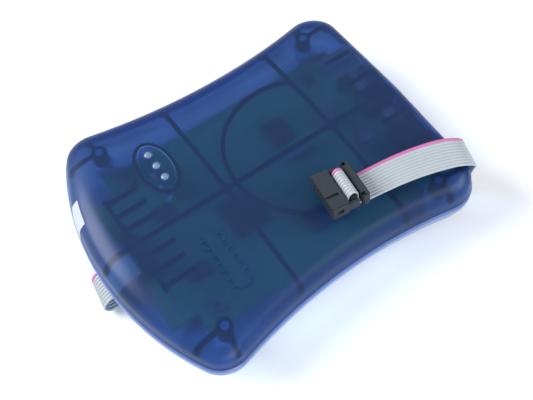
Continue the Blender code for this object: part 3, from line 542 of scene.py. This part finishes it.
def flat_cable():
    sections = cable_sections()
    profile = cable_profile()
    ring = profile + [(across, -half) for across, half in reversed(profile)]
    bm = bmesh.new()
    rows = []
    for i, (place, across) in enumerate(sections):
        ahead = sections[min(i + 1, len(sections) - 1)][0] - sections[max(i - 1, 0)][0]
        up = across.cross(ahead).normalized()
        rows.append([bm.verts.new(place + across * u + up * v) for u, v in ring])
    first_wire = -CABLE_WIDTH / 2 + WIRE_PITCH
    for low, high in zip(rows, rows[1:]):
        for i in range(len(ring)):
            j = (i + 1) % len(ring)
            face = bm.faces.new((low[i], high[i], high[j], low[j]))
            face.material_index = int((ring[i][0] + ring[j][0]) / 2 < first_wire)
            face.smooth = True
    bm.faces.new(rows[0])
    bm.faces.new(rows[-1][::-1])
    bmesh.ops.recalc_face_normals(bm, faces=bm.faces[:])
    made = new_object("ribbon_cable", bm, [looks["cable_grey"], looks["cable_pink"]])
    return made, [p * MM for p, _ in sections]


def declare_cable(cable, pieces):
    finish_piece(cable, "case", "cable_insulation", "flat_cable")


def target_place():
    """The target socket's frame in metres: x across, y back along the cable from the mating face, z up."""
    local = Matrix.Translation((0.0, TARGET_FACE - SOCKET_PIVOT[0], TARGET_Z - SOCKET_PIVOT[1]))
    place = socket_frame() @ local
    place.translation *= MM
    return place


def target_socket():
    """The socket's body, crimping cover and strain relief, in a frame with y back along the cable."""
    place, half, high, black = target_place(), TARGET_WIDTH / 2, TARGET_HEIGHT, looks["socket_black"]
    arm_end = TARGET_BODY_DEPTH + TARGET_GAP + TARGET_COVER_DEPTH
    body = box("target_body", (-half, 0, 0), (half, TARGET_BODY_DEPTH, high), black, place, 0.25)
    for side in (1, -1):
        low, top = sorted((side * half, side * (half - TARGET_ARM)))
        join(body, [box(f"arm_{side + 1}", (low, TARGET_BODY_DEPTH - 1, TARGET_ARM_INSET),
                        (top, arm_end, high - TARGET_ARM_INSET), black, place)])
    cuts = []
    for row in (-1, 1):
        for i in range(5):
            x, z = (i - 2) * CONTACT_PITCH, high / 2 + row * CONTACT_PITCH / 2
            for name, wide, deep in CONTACT_CUTS:
                cuts.append(box(f"{name}_{row + 1}_{i}", (x - wide, -1, z - wide), (x + wide, deep, z + wide),
                                black, place))
    cuts.append(box("key_groove", (2.6, -1, high - 0.7), (4.0, 5.2, high + 1), black, place))
    for side in (1, -1):
        low, top = sorted((side * (half - 0.6), side * (half + 1)))
        cuts.append(box(f"latch_{side + 1}", (low, 2.0, 2.1), (top, 4.4, high - 2.1), black, place))
    cut(body, cuts)
    settle(body)
    start = TARGET_BODY_DEPTH + TARGET_GAP
    cover = box("target_cover", (-half + 1.6, start, 0.1),
                (half - 1.6, start + TARGET_COVER_DEPTH, high - 0.3), black, place, 0.25)
    start += TARGET_COVER_DEPTH + TARGET_GAP
    relief = box("target_relief", (-half, start, 0.45), (half, start + TARGET_RELIEF_DEPTH, high + 0.2),
                 black, place, 0.4)
    slots = []
    for side in (1, -1):
        low, top = sorted((side * (half - 0.5), side * (half - 1.9)))
        slots.append(box(f"relief_slot_{side + 1}", (low, start - 1, high - 1.2),
                         (top, start + 1.4, high + 1), black, place))
    cut(relief, slots)
    settle(relief)
    finish_piece(body, "case", "connector_plastic", "target_socket_body")
    finish_piece(cover, "case", "connector_plastic", "target_socket_cover")
    finish_piece(relief, "case", "connector_plastic", "target_strain_relief")
    return [body, cover, relief]


# ---------- case outline ----------

def arc(centre, radius, first, last, count):
    steps = [first + (last - first) * i / count for i in range(count + 1)]
    return [(centre[0] + radius * cos(a), centre[1] + radius * sin(a)) for a in steps]


def right_half(inset, wide_inset):
    """The outline's right half, from the wide end's middle to the narrow end's, moved in by the insets."""
    wide_centre = (0.0, -HALF_LENGTH + WIDE_END_RADIUS)
    wide_radius = WIDE_END_RADIUS - wide_inset
    side_centre = (WAIST_HALF_WIDTH + SIDE_RADIUS, WAIST_Y)
    side_radius = SIDE_RADIUS + inset
    wide_corner = max(WIDE_CORNER_RADIUS - (inset + wide_inset) / 2, 1.5)
    narrow_corner = max(NARROW_CORNER_RADIUS - inset, 1.5)
    # the wide corner's centre lies inside the end's circle and outside the side's circle
    from_wide, from_side = wide_radius - wide_corner, side_radius + wide_corner
    apart = hypot(side_centre[0] - wide_centre[0], side_centre[1] - wide_centre[1])
    along = (apart ** 2 + from_wide ** 2 - from_side ** 2) / (2 * apart)
    across = sqrt(from_wide ** 2 - along ** 2)
    ux, uy = (side_centre[0] - wide_centre[0]) / apart, (side_centre[1] - wide_centre[1]) / apart
    corner_a = (wide_centre[0] + along * ux + across * uy, wide_centre[1] + along * uy - across * ux)
    # the narrow corner's centre lies a radius in from the straight end
    by = HALF_LENGTH - inset - narrow_corner
    bx = side_centre[0] - sqrt((side_radius + narrow_corner) ** 2 - (by - side_centre[1]) ** 2)
    turn_a = atan2(corner_a[1] - wide_centre[1], corner_a[0] - wide_centre[0])
    side_a = atan2(side_centre[1] - corner_a[1], side_centre[0] - corner_a[0])
    side_b = atan2(side_centre[1] - by, side_centre[0] - bx)
    wide = arc(wide_centre, wide_radius, -pi / 2, turn_a, ARC_STEPS[0])
    corner_1 = arc(corner_a, wide_corner, turn_a, side_a, ARC_STEPS[1])
    side = arc(side_centre, side_radius, side_a + pi, side_b + pi, ARC_STEPS[2])
    corner_2 = arc((bx, by), narrow_corner, side_b, pi / 2, ARC_STEPS[3])
    return wide + corner_1[1:] + side[1:] + corner_2[1:] + [(0.0, HALF_LENGTH - inset)]


def outline(inset, wide_inset):
    right = right_half(inset, wide_inset)
    return right + [(-x, y) for x, y in right[-2:0:-1]]


def crown(x, y):
    return CROWN_X * x * x + CROWN_Y * y * y


def loft(rings):
    """A closed body through rings of (outline, z, material index), bottom up."""
    bm = bmesh.new()
    rows = [[bm.verts.new((x, y, z)) for x, y in points] for points, z, _ in rings]
    for low, high, (_, _, index) in zip(rows, rows[1:], rings[1:]):
        for i in range(len(low)):
            j = (i + 1) % len(low)
            bm.faces.new((low[i], low[j], high[j], high[i])).material_index = index
    bm.faces.new(rows[0][::-1])
    bm.faces.new(rows[-1])
    return bm


def slice_top(bm, spacing, reach=44.0):
    """Cuts the top into strips along Y so that it can take the crown."""
    level = max(v.co.z for v in bm.verts)
    x = spacing / 2 - spacing * ceil(reach / spacing)
    while x <= reach:
        flat = [f for f in bm.faces if all(abs(v.co.z - level) < 1e-6 for v in f.verts)]
        around = {e for f in flat for e in f.edges} | {v for f in flat for v in f.verts}
        bmesh.ops.bisect_plane(bm, geom=flat + list(around), dist=1e-5,
                               plane_co=(x, 0, 0), plane_no=(1, 0, 0))
        x += spacing


def cover_body(depth, low, steps=12, spacing=4.0):
    """The cover's outer shape, or one that lies so many mm under it, filled from the given height up."""
    wall_z = PARTING_Z + GAP / 2 + LIP_HEIGHT + LIP_STEP
    if depth == 0:
        rings = [(outline(LIP_EDGE, LIP_EDGE), low, 1), (outline(0, 0), low + LIP_EDGE, 1),
                 (outline(0, 0), wall_z - LIP_STEP, 1), (outline(LIP_STEP, LIP_STEP), wall_z, 1)]
    else:
        rings = [(outline(LIP_STEP + depth, LIP_STEP + depth), low, 0)]
    foot = LIP_STEP + WALL_DRAFT + depth
    side, wide, rise = SIDE_SHOULDER - depth, WIDE_SHOULDER - depth, TOP_Z - SHOULDER_Z - depth
    for step in range(steps + 1):
        turn = pi / 2 * step / steps
        inset, wide_inset = foot + side * (1 - cos(turn)), foot + wide * (1 - cos(turn))
        rings.append((outline(inset, wide_inset), SHOULDER_Z + rise * sin(turn), 0))
    bm = loft(rings)
    slice_top(bm, spacing)
    for v in bm.verts:
        share = max(0.0, (v.co.z - wall_z) / (TOP_Z - depth - wall_z))
        v.co.z -= share * crown(v.co.x, v.co.y)
    bmesh.ops.triangulate(bm, faces=bm.faces[:])
    return bm


def base_body(depth, high):
    """The lower shell's outer shape, or one so many mm inside it: its wall leans in to a rounded edge."""
    wall_top = PARTING_Z - GAP / 2 - LIP_HEIGHT
    floor, edge = UNDERSIDE_Z + depth, BASE_EDGE - depth
    rings = []
    for step in range(BASE_EDGE_STEPS + 1):
        turn = pi / 2 * (1 - step / BASE_EDGE_STEPS)
        inset = LIP_STEP + BASE_TAPER + depth + edge * (1 - cos(turn))
        rings.append((outline(inset, inset), floor + edge * (1 - sin(turn)), 0))
    if depth == 0:
        rings += [(outline(LIP_STEP, LIP_STEP), wall_top - LIP_STEP, 0), (outline(0, 0), wall_top, 0),
                  (outline(0, 0), high - LIP_EDGE, 0), (outline(LIP_EDGE, LIP_EDGE), high, 0)]
    else:
        rings += [(outline(LIP_STEP + depth, LIP_STEP + depth), z, 0) for z in (wall_top - LIP_STEP, high)]
    bm = loft(rings)
    bmesh.ops.triangulate(bm, faces=bm.faces[:])
    return bm


# ---------- case ----------

def mirrored(places):
    return [(side * x, y) for x, y in places for side in (1, -1)]


def rib(name, start, end, low=RIB_Z):
    """An upright plate from one point to another, to be trimmed to the cover's inside."""
    (x0, y0), (x1, y1) = start, end
    long = hypot(x1 - x0, y1 - y0)
    place = place_at((x0 + x1) / 2, (y0 + y1) / 2, 0, atan2(y1 - y0, x1 - x0))
    half = RIB_THICKNESS / 2
    return box(name, (-long / 2, -half, low), (long / 2, half, TOP_Z + 2), looks["cover_rib"], place)


def rib_plates():
    reach = HALF_LENGTH + 5
    plates = [rib(f"rib_cross_{i}", (-60, y), (60, y)) for i, y in enumerate(CROSS_RIB_YS)]
    for x in [side * x for x in COMB_XS for side in (1, -1)]:
        plates.append(rib(f"rib_comb_{x:.0f}", (x, COMB_Y[0] - 1), (x, COMB_Y[1]), SHORT_RIB_Z))
    edge = COMB_XS[-1] + 2
    plates.append(rib("rib_comb_bar", (-edge, COMB_BAR_Y), (edge, COMB_BAR_Y), SHORT_RIB_Z))
    for x in [side * x for x in END_RIB_XS for side in (1, -1)]:
        plates.append(rib(f"rib_end_{x:.0f}", (x, END_RIB_START_Y), (x, reach - 1)))
    for i, (x, y) in enumerate(mirrored(BOSS_PLACES)):
        outward, endward = 1 if x > 0 else -1, 1 if y > 0 else -1
        plates.append(rib(f"gusset_side_{i}", (x, y), (x + outward * 16, y + endward * 2)))
        plates.append(rib(f"gusset_end_{i}", (x, y), (x + outward * 1, y + endward * 22)))
    return plates


def window_ring():
    """The rib that runs round the indicator window, under the skin."""
    rings = []
    for name, wider in (("window_rib", WINDOW_RIB), ("window_rib_hole", 0.2)):
        bm = bmesh.new()
        bmesh.ops.create_cone(bm, cap_ends=True, segments=64, radius1=0.5, radius2=0.5, depth=1.0)
        size = Vector((WINDOW_LENGTH + 2 * wider, WINDOW_WIDTH + 2 * wider, 10.0 - wider))
        bmesh.ops.scale(bm, vec=size, verts=bm.verts)
        bmesh.ops.translate(bm, vec=(WINDOW_X, WINDOW_Y, 26.0), verts=bm.verts)
        rings.append(new_object(name, bm, [looks["cover_rib"]]))
    cut(rings[0], rings[1:])
    return rings[0]


def cover_ribs():
    """Every rib of the cover as one piece: plates trimmed to a layer just inside the outer surface."""
    dark = looks["cover_rib"]
    half = RIB_THICKNESS / 2
    ring = cylinder("rib_ring", 0, RING_CENTRE_Y, RING_Z, TOP_Z + 2, RING_RADIUS + half, dark, 72)
    hole = cylinder("ring_hole", 0, RING_CENTRE_Y, RING_Z - 1, TOP_Z + 3, RING_RADIUS - half, dark, 72)
    rest = box("ring_rest", (-RING_RADIUS - 5, RING_END_Y, RING_Z - 1),
               (RING_RADIUS + 5, HALF_LENGTH, TOP_Z + 3), dark)
    cut(ring, [hole, rest])
    ribs = rib("rib_centre", (0, -HALF_LENGTH - 5), (0, HALF_LENGTH + 5))
    join(ribs, rib_plates() + [ring, window_ring()])
    layer = cover_body(RIB_COVER, PARTING_Z + 3.0, *COARSE)
    join(ribs, [new_object("rib_outside", layer, [dark])], "INTERSECT")
    cut(ribs, [new_object("rib_inside", cover_body(WALL + RIB_DEPTH, PARTING_Z, *COARSE), [dark])])
    return ribs


def window_cutter():
    """The indicator window's shallow oval, tilted with the crowned top."""
    slope = atan2(-2 * CROWN_X * WINDOW_X, 1)
    surface = TOP_Z - crown(WINDOW_X, WINDOW_Y)
    bm = bmesh.new()
    bmesh.ops.create_cone(bm, cap_ends=True, segments=64, radius1=0.44, radius2=0.5, depth=1.0)
    bmesh.ops.scale(bm, vec=(WINDOW_LENGTH, WINDOW_WIDTH, WINDOW_CUTTER_HEIGHT), verts=bm.verts)
    bmesh.ops.translate(bm, vec=(0, 0, WINDOW_CUTTER_HEIGHT / 2 - WINDOW_DEPTH), verts=bm.verts)
    for face in bm.faces:
        face.material_index = int(abs(face.normal.z) < 0.5)
    return new_object("window_cutter", bm, [looks["cover_skin"], looks["window_edge_painted_light"]],
                      place_at(WINDOW_X, WINDOW_Y, surface, -slope, "Y"))


def pipe_xs():
    return [WINDOW_X + i * PIPE_PITCH for i in (-1, 0, 1)]


def emblem():
    """A generic chip pictogram raised on the top: a long body with two rows of legs, following the crown."""
    x, y = EMBLEM_X, EMBLEM_Y
    top = TOP_Z - crown(x, y)
    half, reach = EMBLEM_HALF_WIDTH, EMBLEM_HALF_WIDTH + EMBLEM_LEG_REACH
    shapes = [((x - EMBLEM_HALF_LENGTH, y - half, top - 1.2),
               (x + EMBLEM_HALF_LENGTH, y + half, top + EMBLEM_RISE))]
    for i in range(EMBLEM_LEGS):
        leg = x + (i - (EMBLEM_LEGS - 1) / 2) * EMBLEM_LEG_PITCH
        shapes.append(((leg - EMBLEM_LEG_HALF, y - reach, top - 1.3),
                       (leg + EMBLEM_LEG_HALF, y + reach, top + EMBLEM_RISE - 0.12)))
    made = []
    for i, (low, high) in enumerate(shapes):
        bm = block(low, high)
        lengthways = [e for e in bm.edges if abs(e.verts[0].co.x - e.verts[1].co.x) > 2 * EMBLEM_HALF_WIDTH]
        bmesh.ops.subdivide_edges(bm, edges=lengthways, cuts=3)
        for v in bm.verts:
            v.co.z -= crown(v.co.x, v.co.y) - crown(x, y)
        bmesh.ops.triangulate(bm, faces=bm.faces[:])
        made.append(new_object(f"emblem_{i}", bm, [looks["cover_skin"]]))
    return made


def port_openings(tag, clearance=0.5):
    floor = BOARD_TOP + GAP - clearance
    return [box(f"{name}_opening_{tag}", (x - width / 2 - clearance, PORT_FACE_Y - 12, floor),
                (x + width / 2 + clearance, HALF_LENGTH + 4, floor + height + 2 * clearance),
                looks["cover_lip_painted_light"])
            for name, x, width, height in PORTS]


def top_cover():
    low = PARTING_Z + GAP / 2
    skin, lip_painted_light, inside, dark = (looks[n] for n in ("cover_skin", "cover_lip_painted_light", "cover_inside", "cover_rib"))
    cover = new_object("case_cover", cover_body(0, low), [skin, lip_painted_light])
    cut(cover, [new_object("cover_hollow", cover_body(WALL, low - 2), [inside])])
    bosses = [cylinder(f"boss_{i}", x, y, low + 0.6, TOP_Z - crown(x, y) - 1.0, BOSS_RADIUS, dark)
              for i, (x, y) in enumerate(mirrored(BOSS_PLACES))]
    join(cover, [cover_ribs()] + bosses + emblem())
    holes = [cylinder(f"pilot_{i}", x, y, PARTING_Z - 1, TOP_Z - crown(x, y) - PILOT_COVER, PILOT_RADIUS,
                      looks["window_edge_painted_light"])
             for i, (x, y) in enumerate(mirrored(BOSS_PLACES))]
    holes += [cylinder(f"pipe_hole_{i}", x, WINDOW_Y, 20.0, TOP_Z + 2, PIPE_RADIUS + GAP, lip_painted_light)
              for i, x in enumerate(pipe_xs())]
    cut(cover, holes + [window_cutter()] + port_openings("cover"))
    settle(cover)
    smooth(cover)
    finish_piece(cover, "case", "cover_plastic", "top_cover")


def bottom_shell():
    high, floor = PARTING_Z - GAP / 2, UNDERSIDE_Z + WALL - 1.0
    skin, inside = looks["base_skin_painted_light"], looks["base_inside"]
    shell = new_object("case_base", base_body(0, high), [skin])
    cut(shell, [new_object("base_hollow", base_body(WALL, high + 2), [inside])])
    pillars = [cylinder(f"pillar_{i}", x, y, floor, PARTING_Z, SINK_RADIUS + 1.0, skin)
               for i, (x, y) in enumerate(mirrored(BOSS_PLACES))]
    pillars += [cylinder(f"standoff_{i}", x, y, floor, BOARD_Z - GAP, STANDOFF_RADIUS, skin)
                for i, (x, y) in enumerate(mirrored(BOARD_SCREWS))]
    join(shell, pillars)
    slot = box("cable_slot", (SLOT_X - CABLE_WIDTH / 2 - 1.2, -HALF_LENGTH - 5, SLOT_Z - 1.9),
               (SLOT_X + CABLE_WIDTH / 2 + 1.2, -HALF_LENGTH + 12, SLOT_Z + 1.4), skin)
    holes = []
    for i, (x, y) in enumerate(mirrored(BOSS_PLACES)):
        holes.append(cylinder(f"screw_hole_{i}", x, y, UNDERSIDE_Z - 2, PARTING_Z + 2,
                              PILOT_RADIUS + 0.2, skin))
        holes.append(cylinder(f"screw_sink_{i}", x, y, UNDERSIDE_Z - 2, UNDERSIDE_Z + SINK_DEPTH,
                              SINK_RADIUS, skin))
    holes += [cylinder(f"standoff_hole_{i}", x, y, UNDERSIDE_Z + 1.2, BOARD_Z + 1, STANDOFF_HOLE, skin)
              for i, (x, y) in enumerate(mirrored(BOARD_SCREWS))]
    cut(shell, [slot] + holes + port_openings("base"))
    settle(shell)
    smooth(shell)
    finish_piece(shell, "case", "base_plastic", "bottom_shell")


def label_profile():
    """Points of the wide end's wall and shoulder under the label: (inset from the end, z)."""
    wall_z = PARTING_Z + GAP / 2 + LIP_HEIGHT + LIP_STEP
    up, over, _ = LABEL_STEPS
    wall = [(LIP_STEP + WALL_DRAFT * i / up, wall_z + (SHOULDER_Z - wall_z) * i / up) for i in range(up)]
    for i in range(over + 1):
        turn = LABEL_TOP_TURN * i / over
        wall.append((LIP_STEP + WALL_DRAFT + WIDE_SHOULDER * (1 - cos(turn)),
                     SHOULDER_Z + (TOP_Z - SHOULDER_Z) * sin(turn)))
    return wall_z, wall


def seal_label():
    """A thin paper seal that follows the wide end's curved wall and the start of its shoulder."""
    wall_z, profile = label_profile()
    columns = LABEL_STEPS[2]
    bm = bmesh.new()
    rows = []
    for inset, z in profile:
        radius = WIDE_END_RADIUS - inset + LABEL_CLEAR
        share = (z - wall_z) / (TOP_Z - wall_z)
        row = []
        for j in range(columns + 1):
            x = LABEL_X[0] + (LABEL_X[1] - LABEL_X[0]) * j / columns
            y = -HALF_LENGTH + WIDE_END_RADIUS - radius * cos(asin(x / radius))
            row.append(bm.verts.new((x, y, z - share * crown(x, y) + LABEL_LIFT)))
        rows.append(row)
    for low, high in zip(rows, rows[1:]):
        for i in range(columns):
            bm.faces.new((low[i], low[i + 1], high[i + 1], high[i]))
    label = new_object("label_paper_patch", bm, [looks["paper"]])
    thick = label.modifiers.new("thickness", "SOLIDIFY")
    thick.thickness = LABEL_THICKNESS * MM
    thick.offset = 0.0
    settle(label)
    smooth(label)
    finish_piece(label, "case", "label_paper", "seal_label")


def light_pipes():
    """Clear pipes with domed tips in the indicator window."""
    z = BOARD_TOP + GAP + 1.4 + GAP
    for name, x in zip(("left", "middle", "right"), pipe_xs()):
        top = TOP_Z - crown(x, WINDOW_Y) - 0.5
        bm = bmesh.new()
        profile = [(0.0, z), (PIPE_RADIUS, z), (PIPE_RADIUS, top - PIPE_DOME)]
        profile += [(PIPE_RADIUS * cos(a), top - PIPE_DOME + PIPE_DOME * sin(a))
                    for a in (pi / 10, pi / 5, 0.3 * pi, 0.4 * pi)]
        profile.append((0.0, top))
        verts = [bm.verts.new((r, 0, h)) for r, h in profile]
        edges = [bm.edges.new(pair) for pair in zip(verts, verts[1:])]
        bmesh.ops.spin(bm, geom=verts + edges, cent=(0, 0, 0), axis=(0, 0, 1), angle=2 * pi, steps=32)
        bmesh.ops.remove_doubles(bm, verts=bm.verts, dist=1e-4)
        bmesh.ops.recalc_face_normals(bm, faces=bm.faces[:])
        bmesh.ops.translate(bm, vec=(x, WINDOW_Y, 0), verts=bm.verts)
        pipe = new_object(f"indicator_pipe_{name}", bm, [looks["clear_tip"]])
        smooth(pipe)
        finish_piece(pipe, "case", "light_pipe_plastic", f"light_pipe_{name}")


# ---------- CAD pieces that stay ----------

# The starts of their names, with the look each takes
CAD_LOOKS = (
    (("circuit_board",), "board_green"),
    (("main_controller", "usb_controller", "memory_chip", "level_shifter", "voltage_regulator"),
     "chip_black"),
    # Metal inside the case takes the darkened copy of the bright metal: painted shade.
    (("capacitor", "crystal_can", "board_screw"), "inner_metal_painted_shade"),
    (("case_screw", "usb_socket_shell", "power_jack_pin"), "bright_metal"),
    (("cable_connector", "power_jack_body", "power_switch_body"), "socket_black"),
    (("usb_socket_tongue", "indicator_led"), "white_plastic"),
    (("foot_",), "rubber"),
    (("power_switch_rocker",), "rocker_red"),
)


def dress_nodes(nodes):
    for starts, name in CAD_LOOKS:
        for node, piece in nodes.items():
            if node.startswith(starts):
                piece.data.materials.clear()
                piece.data.materials.append(looks[name])


def build():
    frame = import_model()
    make_looks()
    make_camera()
    cable, path = flat_cable()
    declare_cable(cable, target_socket())
    make_stage()
    top_cover()
    bottom_shell()
    seal_label()
    light_pipes()
    dress_nodes(frame["nodes"])


build()
